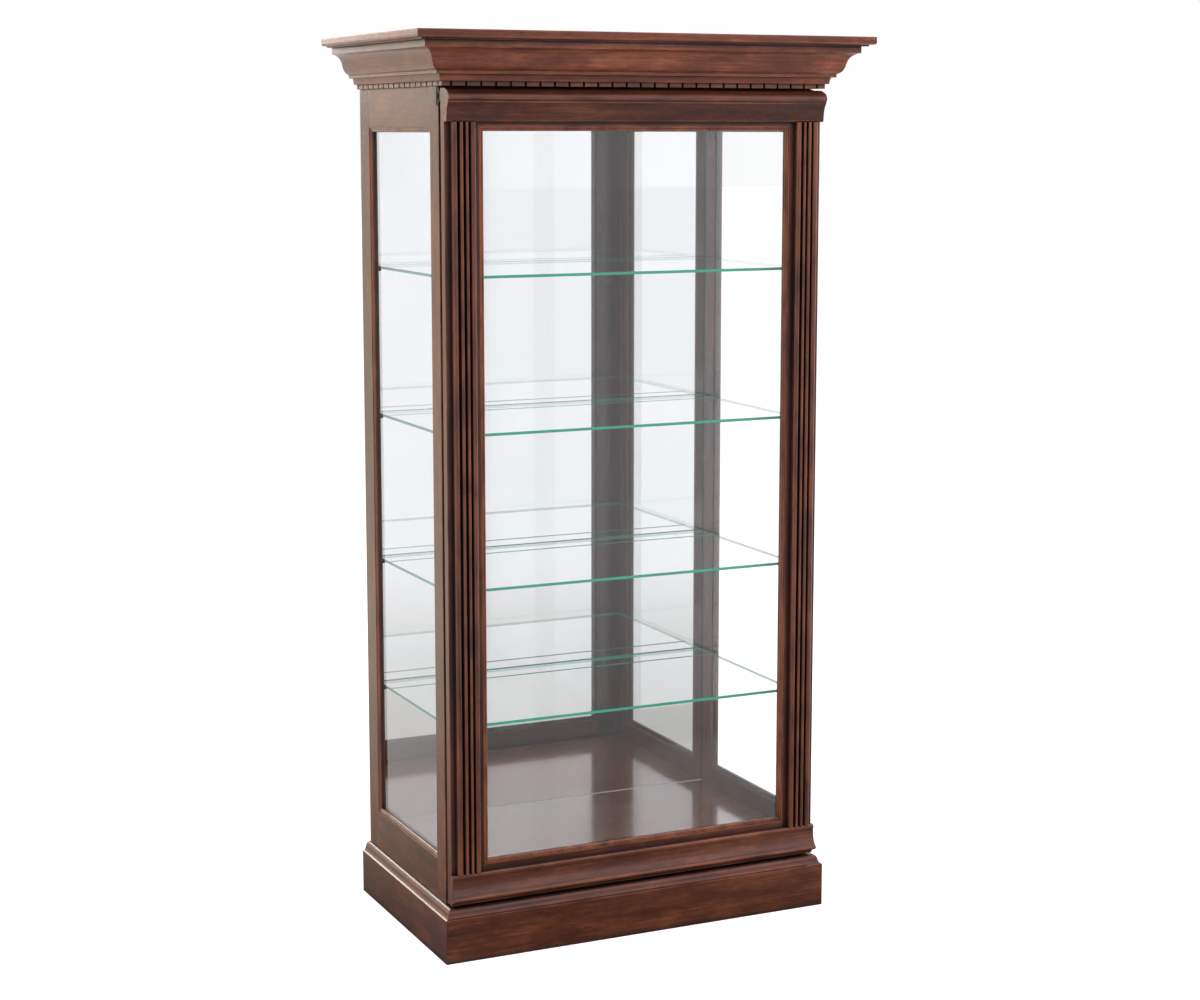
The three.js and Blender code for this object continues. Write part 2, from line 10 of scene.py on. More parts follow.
import bmesh
import bpy
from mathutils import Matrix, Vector


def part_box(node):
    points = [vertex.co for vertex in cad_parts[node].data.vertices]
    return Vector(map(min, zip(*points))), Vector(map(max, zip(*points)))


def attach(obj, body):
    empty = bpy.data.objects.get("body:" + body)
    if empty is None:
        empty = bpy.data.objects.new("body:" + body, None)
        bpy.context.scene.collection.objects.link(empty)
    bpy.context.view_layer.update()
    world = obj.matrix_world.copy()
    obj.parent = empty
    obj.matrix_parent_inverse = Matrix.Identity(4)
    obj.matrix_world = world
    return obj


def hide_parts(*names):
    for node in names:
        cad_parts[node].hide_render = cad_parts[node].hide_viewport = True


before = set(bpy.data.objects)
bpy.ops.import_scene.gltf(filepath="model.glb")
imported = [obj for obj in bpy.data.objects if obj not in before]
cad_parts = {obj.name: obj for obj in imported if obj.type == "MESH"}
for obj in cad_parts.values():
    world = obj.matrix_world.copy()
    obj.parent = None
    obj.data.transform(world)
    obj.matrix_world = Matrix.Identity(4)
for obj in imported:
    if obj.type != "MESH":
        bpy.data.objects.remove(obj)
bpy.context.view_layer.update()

MM = 0.001
X, Y, Z = 0, 1, 2
SIDES = (("left", -1), ("right", 1))

SHARP_ANGLE = math.radians(32)  # edges sharper than this are eased on boards and shaded hard
BOARD_EASE = 0.9  # width of the sanded arris on a board, mm
MITRE_GAP = 0.08  # a mitred end stands back this far, mm
JOINT_REACH = 0.0001  # edges within this of a neighbour's box are part of a flush joint, m

TONE_AND_LIGHT_STEP = 1.4  # one step of tone and painted light makes a piece this much brighter
SHADE_REACH = 0.025  # painted shade darkens hollows up to about this wide, m
WEAR_AND_HIGHLIGHT_FADE = 2.6  # the lighter wear and painted highlight fade out this far from an arris, mm
WORN_AND_HIGHLIGHTED_BAND = 18.0  # a band narrower than this is painted lighter right across, as wear and painted highlight, mm

PLINTH_MOULDING = 21.5  # height of the moulded top of a plinth board, mm
PILASTER_GAP = 0.3  # a pilaster stops this far from the mouldings, mm
PILASTER_ROOT = 3  # how deep a pilaster is let into its stile, mm
DOOR_BEAD_DEPTH = 9  # from the glass to the face of the wood, mm
SIDE_BEAD_DEPTH = 12
PLATE_GROOVE_TO_REAR = 74.0  # from a shelf's rear edge to its plate groove, mm
PLATE_GROOVE_HALF_WIDTH = 3.2
PLATE_GROOVE_PULL = 4.0  # the groove's curve is pulled down this far
SHELF_ARRIS = 0.8
SILVERING = 0.4  # thickness of the mirror's silvering, with its backing paint, mm
SLIDE_GAUGE = 1.6  # thickness of a slide's steel, mm
SLIDE_HOOK = 2.2  # how far a slide's lips turn back, mm
STOP_LENGTH = 14  # a slide's end stop, mm
STOP_SETBACK = 0.5  # from the end of the slide
STOP_INSET = 2.2  # from the slide's web and flanges
STOP_LIP_GAP = 0.6  # from the slide's lips

# Painted light and shade in steps: how much lighter than the case's boards each group is painted for how
# light falls on it. The crown and beads are painted lit; the door, its head moulding under the cornice
# and the plinth are painted in shade.
DOOR_PAINTED_SHADE = -0.7
HEAD_PAINTED_SHADE = -1.1
CROWN_PAINTED_LIGHT = 1.0
PLINTH_PAINTED_SHADE = -0.2
FOOT_PAINTED_LIGHT = 0.0
BEAD_PAINTED_LIGHT = 1.0

# Crease runs from -1 in a tight inner corner, which is painted in shade, to 1 on an arris, which is
# painted lighter as wear and painted highlight.
CREASE_FLOOR = 3.0  # degrees of turn per mm that still count as flat
CREASE_FULL = 60.0  # degrees of turn per mm that count as a full crease


# ---------------------------------------------------------------- node trees


class Tree:
    """Short calls that add nodes to a material's or the world's tree."""

    def __init__(self, owner):
        owner.use_nodes = True
        self.tree = owner.node_tree
        self.tree.nodes.clear()

    def add(self, kind, inputs=(), **settings):
        node = self.tree.nodes.new("ShaderNode" + kind)
        for key, value in settings.items():
            setattr(node, key, value)
        for socket, value in dict(inputs).items():
            if isinstance(value, bpy.types.NodeSocket):
                self.tree.links.new(value, node.inputs[socket])
            else:
                node.inputs[socket].default_value = value
        return node

    def math(self, operation, a, b=0.0, clamp=False):
        node = self.add("Math", {0: a, 1: b}, operation=operation, use_clamp=clamp)
        return node.outputs[0]

    def ranged(self, value, from_low, from_high, to_low=0.0, to_high=1.0):
        """value from one range to another, held at the ends."""
        inputs = {0: value, 1: from_low, 2: from_high, 3: to_low, 4: to_high}
        return self.add("MapRange", inputs, interpolation_type="SMOOTHSTEP").outputs[0]

    def mix(self, factor, a, b, blend="MIX"):
        node = self.add("Mix", data_type="RGBA", blend_type=blend)
        for socket, value in ((node.inputs[0], factor), (node.inputs[6], a), (node.inputs[7], b)):
            if isinstance(value, bpy.types.NodeSocket):
                self.tree.links.new(value, socket)
            else:
                socket.default_value = value
        return node.outputs[2]

    def noise(self, vector, stretch, detail=3.0, roughness=0.5, distortion=0.0):
        """Noise with its own number of cells per metre along each axis of the vector."""
        scaled = self.add("VectorMath", {0: vector, 1: stretch}, operation="MULTIPLY").outputs[0]
        inputs = {"Vector": scaled, "Scale": 1.0, "Detail": detail,
                  "Roughness": roughness, "Distortion": distortion}
        return self.add("TexNoise", inputs).outputs["Fac"]

    def ramp(self, value, stops):
        node = self.add("ValToRGB", {0: value})
        elements = node.color_ramp.elements
        while len(elements) < len(stops):
            elements.new(0.5)
        for element, (position, colour) in zip(elements, stops):
            element.position = position
            element.color = (*colour, 1.0)
        return node.outputs[0]

    def attribute(self, name):
        return self.add("Attribute", attribute_name=name)

    def bump(self, height, strength, distance):
        inputs = {"Height": height, "Strength": strength, "Distance": distance}
        return self.add("Bump", inputs).outputs[0]

    def finish(self, surface, kind="OutputMaterial"):
        self.add(kind, {"Surface": surface})


def new_material(name):
    material = bpy.data.materials.new(name)
    return material, Tree(material)


# ---------------------------------------------------------------- materials


def wood_material(name, dark, middle, light, roughness, coat, coat_roughness, relief, moulded=False):
    """Stained and lacquered timber that follows the wood, tone with painted light, and crease of its
    mesh.
    Arrises are painted lighter, as wear and painted highlight, and tight inner corners are painted in
    shade. On moulded pieces painted shade, from ambient occlusion, darkens every hollow."""
    material, t = new_material(name)
    grain = t.attribute("wood").outputs["Vector"]
    tone_and_light = t.attribute("tone_and_light").outputs["Fac"]
    crease = t.attribute("crease").outputs["Fac"]

    blotch = t.noise(grain, (9, 30, 30), detail=4, roughness=0.5, distortion=0.5)
    cloud = t.noise(grain, (2.2, 7, 7), detail=2)
    streak = t.noise(grain, (6, 330, 330), detail=4, roughness=0.6, distortion=0.2)
    fleck = t.noise(grain, (40, 130, 130), detail=3, roughness=0.6)
    pore = t.noise(grain, (55, 1500, 1500), detail=2, roughness=0.6)

    figure = t.math("MULTIPLY_ADD", blotch, 0.5)
    figure.node.inputs[2].default_value = -0.25
    for part, weight in ((streak, 0.5), (fleck, 0.28), (cloud, 0.5)):
        centred = t.math("SUBTRACT", part, 0.5)
        figure = t.math("ADD", figure, t.math("MULTIPLY", centred, weight))
    figure = t.math("ADD", figure, 0.5, clamp=True)
    colour = t.ramp(figure, ((0.22, dark), (0.5, middle), (0.80, light)))
    # the tone attribute: a random tone per piece plus the painted light and shade of its group
    colour = t.add("VectorMath", {0: colour, "Scale": t.math("POWER", TONE_AND_LIGHT_STEP, tone_and_light)},
                   operation="SCALE").outputs[0]

    pores = t.ranged(pore, 0.60, 0.70)
    colour = t.mix(t.math("MULTIPLY", pores, 0.45), colour, (0.012, 0.004, 0.003, 1))

    # wear and painted highlight: arrises are painted a lighter orange in patches, both as rubbed stain
    # and as the light they catch
    wear_highlight_patches = t.ranged(blotch, 0.30, 0.62, 0.25, 1.0)
    wear_and_highlight = t.math("MULTIPLY", t.math("MAXIMUM", crease, 0.0), wear_highlight_patches)
    colour = t.mix(t.math("MULTIPLY", wear_and_highlight, 0.62), colour, (0.40, 0.135, 0.060, 1))
    # painted shade: tight inner corners, and on moulded pieces every hollow that ambient occlusion finds,
    # are painted nearly black
    hollow_shade = t.math("MAXIMUM", t.math("MULTIPLY", crease, -1.0), 0.0)
    if moulded:
        open_air = t.add("AmbientOcclusion", {"Distance": SHADE_REACH}, samples=8).outputs["AO"]
        hollow_shade = t.math("MAXIMUM", hollow_shade, t.ranged(open_air, 0.42, 0.90, 1.0, 0.0))
    colour = t.mix(t.math("MULTIPLY", hollow_shade, 0.92), colour, (0.005, 0.003, 0.003, 1))

    uneven = t.ranged(cloud, 0.3, 0.7, -0.05, 0.05)
    gloss = t.math("ADD", t.math("MULTIPLY", pores, 0.15), uneven)
    gloss = t.math("ADD", gloss, t.math("MULTIPLY", hollow_shade, 0.25))
    gloss = t.math("ADD", gloss, roughness)
    height = t.math("SUBTRACT", t.math("MULTIPLY", streak, 0.35), t.math("MULTIPLY", pores, 0.8))
    normal = t.bump(height, relief, 0.00012)
    shader = t.add("BsdfPrincipled", {
        "Base Color": colour, "Roughness": gloss, "IOR": 1.5, "Normal": normal,
        "Coat Weight": coat, "Coat Roughness": coat_roughness, "Coat IOR": 1.5,
    })
    t.finish(shader.outputs[0])
    return material


def plywood_material():
    """The unpolished back: broad rotary-cut figure under a thin brown stain."""
    material, t = new_material("back_plywood")
    grain = t.attribute("wood").outputs["Vector"]
    crease = t.attribute("crease").outputs["Fac"]
    flame = t.noise(grain, (1.3, 11, 11), detail=3, roughness=0.55, distortion=1.6)
    line = t.noise(grain, (4, 300, 300), detail=3)
    figure = t.math("ADD", t.math("MULTIPLY", flame, 0.7), t.math("MULTIPLY", line, 0.3))
    colour = t.ramp(figure, ((0.3, (0.075, 0.032, 0.018)), (0.5, (0.145, 0.068, 0.036)),
                             (0.7, (0.22, 0.115, 0.062))))
    raw = t.math("MULTIPLY", t.math("MAXIMUM", crease, 0.0), 0.5)
    colour = t.mix(raw, colour, (0.32, 0.19, 0.11, 1))
    rough = t.ranged(line, 0.3, 0.7, 0.55, 0.72)
    normal = t.bump(line, 0.3, 0.0002)
    shader = t.add("BsdfPrincipled", {
        "Base Color": colour, "Roughness": rough, "IOR": 1.45, "Normal": normal,
    })
    t.finish(shader.outputs[0])
    return material


def steel_material(name, colour, metallic, roughness):
    """Plated steel with fine scratches along its length and dull, worn arrises."""
    material, t = new_material(name)
    grain = t.attribute("wood").outputs["Vector"]
    crease = t.attribute("crease").outputs["Fac"]
    scratch = t.noise(grain, (30, 2600, 2600), detail=3)
    cloud = t.noise(grain, (40, 60, 60), detail=3)
    worn = t.math("MULTIPLY", t.math("MAXIMUM", crease, 0.0), t.ranged(cloud, 0.4, 0.6))
    base = t.mix(t.ranged(cloud, 0.3, 0.7), (*(0.75 * c for c in colour), 1), (*colour, 1))
    base = t.mix(t.math("MULTIPLY", worn, 0.5), base, (0.22, 0.21, 0.2, 1))
    rough = t.math("ADD", t.ranged(scratch, 0.3, 0.7, -0.06, 0.08), roughness)
    normal = t.bump(scratch, 0.15, 0.0001)
    shader = t.add("BsdfPrincipled", {
        "Base Color": base, "Metallic": metallic, "Roughness": rough, "Normal": normal,
    })
    t.finish(shader.outputs[0])
    return material


def pane_material(name, tint, dust):
    """Glass seen through its faces: straight-through light, the slab's mirror reflection on
    the side where light enters, and a trace of dust and smears."""
    material, t = new_material(name)
    grain = t.attribute("wood").outputs["Vector"]
    facing = t.add("LayerWeight", {"Blend": 0.5}).outputs["Facing"]
    fifth = t.math("POWER", facing, 5.0)
    single = t.math("MULTIPLY_ADD", fifth, 0.957)
    single.node.inputs[2].default_value = 0.043
    slab = t.math("DIVIDE", t.math("MULTIPLY", single, 2.0), t.math("ADD", single, 1.0))
    entering = t.math("SUBTRACT", 1.0, t.add("NewGeometry").outputs["Backfacing"])
    through = t.add("BsdfTransparent", {"Color": (*tint, 1)}).outputs[0]
    mirror = t.add("BsdfGlossy", {"Color": (1, 1, 1, 1), "Roughness": 0.0}).outputs[0]
    film = t.add("BsdfDiffuse", {"Color": (0.85, 0.88, 0.9, 1)}).outputs[0]
    smear = t.noise(grain, (3, 3, 3), detail=5, roughness=0.65, distortion=0.8)
    veil = t.ranged(smear, 0.35, 0.75, 0.3 * dust, dust)
    clear = t.add("MixShader", {0: veil, 1: through, 2: film}).outputs[0]
    surface = t.add("MixShader", {0: t.math("MULTIPLY", slab, entering), 1: clear, 2: mirror})
    t.finish(surface.outputs[0])
    return material


def glass_edge_material(name, core, rim, glow):
    """The polished edge of a sheet of float glass, which looks green, with a painted glow: it emits its
    own colour at the glow strength, though it is no lamp.
    """
    material, t = new_material(name)
    grain = t.attribute("wood").outputs["Vector"]
    crease = t.attribute("crease").outputs["Fac"]
    cell = t.noise(grain, (9, 120, 120), detail=3, roughness=0.6)
    arris = t.math("MAXIMUM", crease, 0.0)
    depth = t.math("ADD", t.ranged(cell, 0.3, 0.7, 0.0, 0.35), t.math("MULTIPLY", arris, 0.8), clamp=True)
    colour = t.mix(depth, (*core, 1), (*rim, 1))
    rough = t.ranged(cell, 0.3, 0.7, 0.05, 0.14)
    # painted glow: the edge emits its own colour, so it shines though it is no lamp
    shader = t.add("BsdfPrincipled", {
        "Base Color": colour, "Roughness": rough, "IOR": 1.2,
        "Emission Color": colour, "Emission Strength": glow,
    })
    t.finish(shader.outputs[0])
    return material


def silver_material():
    """The mirror's silvering, seen through its glass, with the faintest clouding."""
    material, t = new_material("silvering")
    grain = t.attribute("wood").outputs["Vector"]
    cloud = t.noise(grain, (2, 2, 2), detail=3)
    colour = t.mix(t.ranged(cloud, 0.3, 0.7), (0.905, 0.92, 0.925, 1), (0.93, 0.94, 0.94, 1))
    shader = t.add("BsdfPrincipled", {"Base Color": colour, "Metallic": 1.0, "Roughness": 0.0})
    t.finish(shader.outputs[0])
    return material


STAIN = {
    "dark": (0.020, 0.0055, 0.0035), "middle": (0.080, 0.0205, 0.0092), "light": (0.210, 0.062, 0.026),
}
LACQUER = {"roughness": 0.30, "coat": 0.35, "coat_roughness": 0.16, "relief": 0.25}
MAHOGANY = wood_material("mahogany", **STAIN, **LACQUER)
MOULDED = wood_material("mahogany_moulded", **STAIN, **LACQUER, moulded=True)
FLOOR_WOOD = wood_material(
    "mahogany_floor", dark=(0.085, 0.021, 0.010), middle=(0.160, 0.045, 0.018),
    light=(0.250, 0.078, 0.034), roughness=0.20, coat=1.0, coat_roughness=0.11, relief=0.03,
)
PLYWOOD = plywood_material()
BLACK_STEEL = steel_material("black_steel", (0.018, 0.018, 0.02), metallic=0.7, roughness=0.36)
PIN_METAL = steel_material("pin_steel", (0.02, 0.02, 0.02), metallic=0.6, roughness=0.34)
CLEAR_PANE = pane_material("clear_glass", (0.990, 0.994, 0.993), dust=0.004)
SHELF_PANE = pane_material("shelf_glass", (0.980, 0.993, 0.988), dust=0.004)
SHELF_EDGE = glass_edge_material("shelf_edge", (0.0, 0.12, 0.075), (0.004, 0.27, 0.18), glow=0.45)
PANE_EDGE = glass_edge_material("pane_edge", (0.02, 0.07, 0.055), (0.10, 0.22, 0.18), glow=0.0)
MIRROR_EDGE = glass_edge_material("mirror_edge", (0.80, 0.90, 0.88), (0.95, 0.97, 0.96), glow=0.35)
SILVER = silver_material()


# ---------------------------------------------------------------- sections


def outline(*steps, smooth=10):
    """Points of a section. A pair is a corner; a pair of pairs is a curve to the second
    one that is pulled towards the first."""
    points = []
    for step in steps:
        if not isinstance(step[0], tuple):
            points.append(step)
            continue
        start = points[-1]
        control, end = step
        for i in range(1, smooth + 1):
            t = i / smooth
            weights = ((1 - t) ** 2, 2 * t * (1 - t), t ** 2)
            points.append(tuple(
                sum(w * p[k] for w, p in zip(weights, (start, control, end))) for k in (0, 1)
            ))
    return points


def eased(points, radius=0.5, steps=2):
    """A closed outline with every sharp corner turned into a small round. A long straight
    beside one gets a point where the lighter wear and painted highlight of the corner end."""
    rounded = []
    count = len(points)
    for i, here in enumerate(points):
        before, after = points[i - 1], points[(i + 1) % count]
        back = Vector((before[0] - here[0], before[1] - here[1]))
        on = Vector((after[0] - here[0], after[1] - here[1]))
        if math.pi - back.angle(on) < SHARP_ANGLE:
            rounded.append(here)
            continue
        reach = min(radius, 0.4 * back.length, 0.4 * on.length)
        faded = reach + WEAR_AND_HIGHLIGHT_FADE
        corner = Vector(here)
        start = corner + reach * back.normalized()
        end = corner + reach * on.normalized()
        if back.length > WORN_AND_HIGHLIGHTED_BAND:
            rounded.append(tuple(corner + faded * back.normalized()))
        for k in range(steps + 1):
            t = k / steps
            rounded.append(tuple((1 - t) ** 2 * start + 2 * t * (1 - t) * corner + t ** 2 * end))
        if on.length > WORN_AND_HIGHLIGHTED_BAND:
            rounded.append(tuple(corner + faded * on.normalized()))
    return rounded


# ---------------------------------------------------------------- meshes


def box_mm(node):
    """A CAD node's low and high corners in millimetres."""
    return [[value / MM for value in corner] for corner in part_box(node)]


def add_sweep(bm, rings, closed=False, material=0):
    """Quads between rings of points in millimetres. Open sweeps get capped ends."""
    made = [[bm.verts.new(Vector(point) * MM) for point in ring] for ring in rings]
    pairs = list(zip(made, made[1:])) + ([(made[-1], made[0])] if closed else [])
    for here, there in pairs:
        for i in range(len(here)):
            j = (i + 1) % len(here)
            bm.faces.new((here[i], here[j], there[j], there[i])).material_index = material
    if not closed:
        bm.faces.new(made[0][::-1]).material_index = material
        bm.faces.new(made[-1]).material_index = material


def add_run(bm, section, place, material=0):
    """A length of moulding between the two ends that place(end, inset) gives."""
    rings = [[(*place(end, inset), z) for inset, z in section] for end in (0, 1)]
    add_sweep(bm, rings, material=material)


def add_along(bm, section, axis, low, high, material=0):
    """A section pushed along one axis. Its points are the other two coordinates in order."""
    rings = []
    for at in (low, high):
        ring = []
        for a, b in section:
            point = [a, b]
            point.insert(axis, at)
            ring.append(point)
        rings.append(ring)
    add_sweep(bm, rings, material=material)


def add_box(bm, low, high, ease=0.0, material=0):
    """A block, with its arrises eased."""
    made = bmesh.ops.create_cube(bm, size=1.0)["verts"]
    for vert in made:
        vert.co = Vector([(lo if c < 0 else hi) * MM for c, lo, hi in zip(vert.co, low, high)])
    faces = {f for v in made for f in v.link_faces}
    for face in faces:
        face.material_index = material
    if ease:
        edges = list({e for v in made for e in v.link_edges})
        bmesh.ops.bevel(bm, geom=edges, offset=ease * MM, segments=2, profile=0.5, affect="EDGES")


def add_turned(bm, profile, centre, axis, sign, steps=28, material=0):
    """A turned piece: profile is [radius, distance along the axis] from the centre out."""
    others = [k for k in (X, Y, Z) if k != axis]
    rings = []
    for radius, along in profile:
        ring = []
        for i in range(steps):
            angle = 2 * math.pi * i / steps
            point = list(centre)
            point[axis] += sign * along
            point[others[0]] += radius * math.cos(angle)
            point[others[1]] += radius * math.sin(angle)
            ring.append(point)
        rings.append(ring)
    add_sweep(bm, rings, material=material)


def ease_boards(bm, ease, neighbours=()):
    """Takes a CAD board's triangles back to flat faces and eases its outer arrises. Edges
    that lie against a neighbour are sanded flush, so they stay sharp."""
    bmesh.ops.dissolve_limit(bm, angle_limit=math.radians(0.5), verts=bm.verts, edges=bm.edges)

    def in_joint(edge):
        middle = (edge.verts[0].co + edge.verts[1].co) / 2
        return any(
            all(lo - JOINT_REACH < c < hi + JOINT_REACH for c, lo, hi in zip(middle, low, high))
            for low, high in neighbours
        )

    sharp = [
        e for e in bm.edges
        if e.is_manifold and e.is_convex and e.calc_face_angle() > SHARP_ANGLE and not in_joint(e)
    ]
    bmesh.ops.bevel(bm, geom=sharp, offset=ease * MM, segments=2, profile=0.5,
                    affect="EDGES", clamp_overlap=True)
    broad = [f for f in bm.faces if min(e.calc_length() for e in f.edges) > 4 * WEAR_AND_HIGHLIGHT_FADE * MM]
    bmesh.ops.inset_individual(bm, faces=broad, thickness=WEAR_AND_HIGHLIGHT_FADE * MM)


def creases(bm):
    """How tightly the surface turns at each vertex, from -1 inwards to 1 outwards."""
    found = [0.0] * len(bm.verts)
    for edge in bm.edges:
        length = edge.calc_length() / MM
        if not edge.is_manifold or length < 1e-4:
            continue
        width = sum(face.calc_area() for face in edge.link_faces) / MM ** 2 / length / 2
        turn = math.degrees(edge.calc_face_angle_signed(0.0)) / max(width, 0.05)
        excess = max(0.0, abs(turn) - CREASE_FLOOR) / (CREASE_FULL - CREASE_FLOOR)
        value = math.copysign(min(1.0, excess) ** 0.6, turn)
        for vert in edge.verts:
            if abs(value) > abs(found[vert.index]):
                found[vert.index] = value
    return found


def make_piece(name, body, materials, bm, grain=Z, replaces=(), tone_and_light=0.0):
    """A shown piece from a finished mesh, riding on its body, with the attributes that the
    materials read: wood (grain first, then across), tone with painted light, and crease. The tone is a
    small random shift per piece added to the painted light and shade steps that the caller gives."""
    bmesh.ops.remove_doubles(bm, verts=bm.verts, dist=1e-7)
    bmesh.ops.recalc_face_normals(bm, faces=bm.faces)
    bm.verts.index_update()
    crease = creases(bm)
    mesh = bpy.data.meshes.new(name)
    bm.to_mesh(mesh)
    bm.free()
    for material in materials:
        mesh.materials.append(material)

    draw = random.Random(name)
    shift = Vector([draw.uniform(0, 40) for _ in range(3)])
    # a random tone per piece, added to the painted light and shade of its group
    tone_and_light += draw.uniform(-0.25, 0.25)
    order = (grain, *(k for k in (X, Y, Z) if k != grain))
    wood = [value for v in mesh.vertices for value in (v.co[k] + shift[k] for k in order)]
    mesh.attributes.new("wood", "FLOAT_VECTOR", "POINT").data.foreach_set("vector", wood)
    mesh.attributes.new("tone_and_light", "FLOAT", "POINT").data.foreach_set("value", [tone_and_light] * len(mesh.vertices))
    mesh.attributes.new("crease", "FLOAT", "POINT").data.foreach_set("value", crease)
    mesh.shade_smooth()
    mesh.set_sharp_from_angle(angle=SHARP_ANGLE)

    made = bpy.data.objects.new(name, mesh)
    bpy.context.scene.collection.objects.link(made)
    weighted = made.modifiers.new("even_normals", "WEIGHTED_NORMAL")
    weighted.keep_sharp = True
    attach(made, body)
    if replaces:
        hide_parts(*replaces)
    return made


# ---------------------------------------------------------------- boards


def board(node, body, grain, ease=BOARD_EASE, material=None, joins=(), tone_and_light=0.0):
    """A CAD board remade with eased arrises and its own run of grain."""
    bm = bmesh.new()
    bm.from_mesh(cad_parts[node].data)
    bmesh.ops.remove_doubles(bm, verts=bm.verts, dist=1e-6)
    ease_boards(bm, ease, [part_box(other) for other in joins])
    make_piece(f"{node}_board", body, [material or MAHOGANY], bm, grain, [node], tone_and_light)


def build_boards():
    for side, _ in SIDES:
        rails = (f"{side}_top_rail", f"{side}_bottom_rail")
        stiles = (f"{side}_front_stile", f"{side}_rear_stile")
        for stile in stiles:
            board(stile, "case", Z, joins=(*rails, "front_header_rail", "front_sill_rail"))
        for rail in rails:
            board(rail, "case", Y, joins=stiles)
    case_stiles = ("left_front_stile", "right_front_stile")
    board("front_header_rail", "case", X, joins=case_stiles)
    board("front_sill_rail", "case", X, joins=case_stiles)
    board("top_panel", "case", X)
    board("plinth_back", "case", X)
    door_stiles = ("door_left_stile", "door_right_stile")
    board("door_top_rail", "door", X, material=MOULDED, joins=door_stiles, tone_and_light=DOOR_PAINTED_SHADE)
    board("door_bottom_rail", "door", X, material=MOULDED, joins=door_stiles, tone_and_light=DOOR_PAINTED_SHADE)
    board("dentil_moulding", "case", X, ease=0.35, material=MOULDED, tone_and_light=CROWN_PAINTED_LIGHT)
    board("floor_panel", "case", X, ease=1.4, material=FLOOR_WOOD)
    board("back_panel", "case", Z, ease=0.5, material=PLYWOOD)


# ---------------------------------------------------------------- mouldings


def front_run(half_width, front):
    """Ends of a front length, mitred at both corners."""
    def place(end, inset):
        x = half_width - inset - MITRE_GAP
        return (x if end else -x), front + inset
    return place


def side_run(sign, half_width, front, rear):
    """Ends of a side length, mitred at the front corner and square at the back."""
    def place(end, inset):
        y = rear if end else front + inset + MITRE_GAP
        return sign * (half_width - inset), y
    return place


def moulding_set(prefix, section, low, high, tone_and_light=0.0):
    """The front and both side lengths of a moulding that wraps the case."""
    bm = bmesh.new()
    add_run(bm, section, front_run(high[X], low[Y]))
    name = f"{prefix}_front"
    make_piece(f"{name}_moulding", "case", [MOULDED], bm, X, [name], tone_and_light)
    for side, sign in SIDES:
        bm = bmesh.new()
        add_run(bm, section, side_run(sign, high[X], low[Y], high[Y]))
        name = f"{prefix}_{side}"
        make_piece(f"{name}_moulding", "case", [MOULDED], bm, Y, [name], tone_and_light)


def build_plinth():
    low, high = box_mm("plinth_right")
    low[X] = -high[X]
    low[Y] = box_mm("plinth_front")[0][Y]
    top = high[Z]
    face_top = top - PLINTH_MOULDING
    section = outline(
        (0, 0), (0, face_top), (4, face_top + 1.5),
        ((7, face_top + 5), (8, face_top + 11)), ((10, top - 2), (17, top)),
        (60, top), (60, face_top), (22, face_top), (22, 0),
    )
    moulding_set("plinth", eased(section, 0.7), low, high, PLINTH_PAINTED_SHADE)


def build_crown():
    low, high = box_mm("cornice_top_board")
    board_edge = outline(
        (0, 0), (0, 13), ((0.2, 17), (5, 17.6)), (12.3, 18), (12.8, 18.4), (13, 21),
    )
    rings = []
    arris = [(30, 0), (3.8, 0), (1.2, 0), (0.3, 0.3), (0, 1.2), (0, 3.8), (0, 10)]
    for inset, depth in arris + board_edge[1:]:
        z = high[Z] - depth
        x = high[X] - inset
        front = low[Y] + inset
        rear = high[Y]
        rings.append([(-x, front, z), (x, front, z), (x, rear, z), (-x, rear, z)])
    bm = bmesh.new()
    add_sweep(bm, rings)
    make_piece("cornice_top", "case", [MOULDED], bm, X, ["cornice_top_board"], CROWN_PAINTED_LIGHT)

    crown = outline(
        (25, 21), (25, 36), (30, 36.5),
        ((46, 42), (49.5, 61)), ((52.5, 77.5), (65, 82.5)),
        (65, 89.3), (73, 89.8), ((75.5, 91.5), (76, 97)), (77, 104),
        (104, 104), (104, 21),
    )
    section = [(inset, high[Z] - depth) for inset, depth in eased(crown, 0.6)]
    moulding_set("crown", section, low, high, CROWN_PAINTED_LIGHT)


def pilaster_face(rise):
    """The reeded face from its inner to its outer edge, as [x, rise]: two broad shoulders
    either side of two beads, with a V groove between each."""
    ridges = ((390, 402.5), (407, 414), (419, 427.5), (432, 445))
    groove_floor = 5.0
    steps = 12
    points = []
    for start, end in ridges:
        middle = (start + end) / 2
        radius = (end - start) / 2
        crown = min(radius, 6.0)
        for i in range(steps + 1):
            angle = math.pi * (1 - i / steps)
            points.append((middle + radius * math.cos(angle), rise - crown + crown * math.sin(angle)))
        if end < ridges[-1][1]:
            points.append((end + 2.1, groove_floor))
            points.append((end + 2.9, groove_floor))
    return points


def build_door_stiles():
    low, high = box_mm("door_top_rail")
    rise = low[Y] - box_mm("door_right_stile")[0][Y]
    pilaster_low = box_mm("door_bottom_moulding")[1][Z] + PILASTER_GAP
    pilaster_high = box_mm("door_top_moulding")[0][Z] - PILASTER_GAP
    for side, sign in SIDES:
        name = f"door_{side}_stile"
        stile_low, stile_high = box_mm(name)
        stile_low[Y] = low[Y]
        bm = bmesh.new()
        add_box(bm, stile_low, stile_high)
        ease_boards(bm, BOARD_EASE, [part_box("door_top_rail"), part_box("door_bottom_rail")])
        face = [(sign * x, low[Y] - up) for x, up in pilaster_face(rise)]
        root = low[Y] + PILASTER_ROOT
        section = [(face[0][0], root), *face, (face[-1][0], root)]
        add_along(bm, section, Z, pilaster_low, pilaster_high)
        make_piece(f"{name}_pilaster", "door", [MOULDED], bm, Z, [name], DOOR_PAINTED_SHADE)


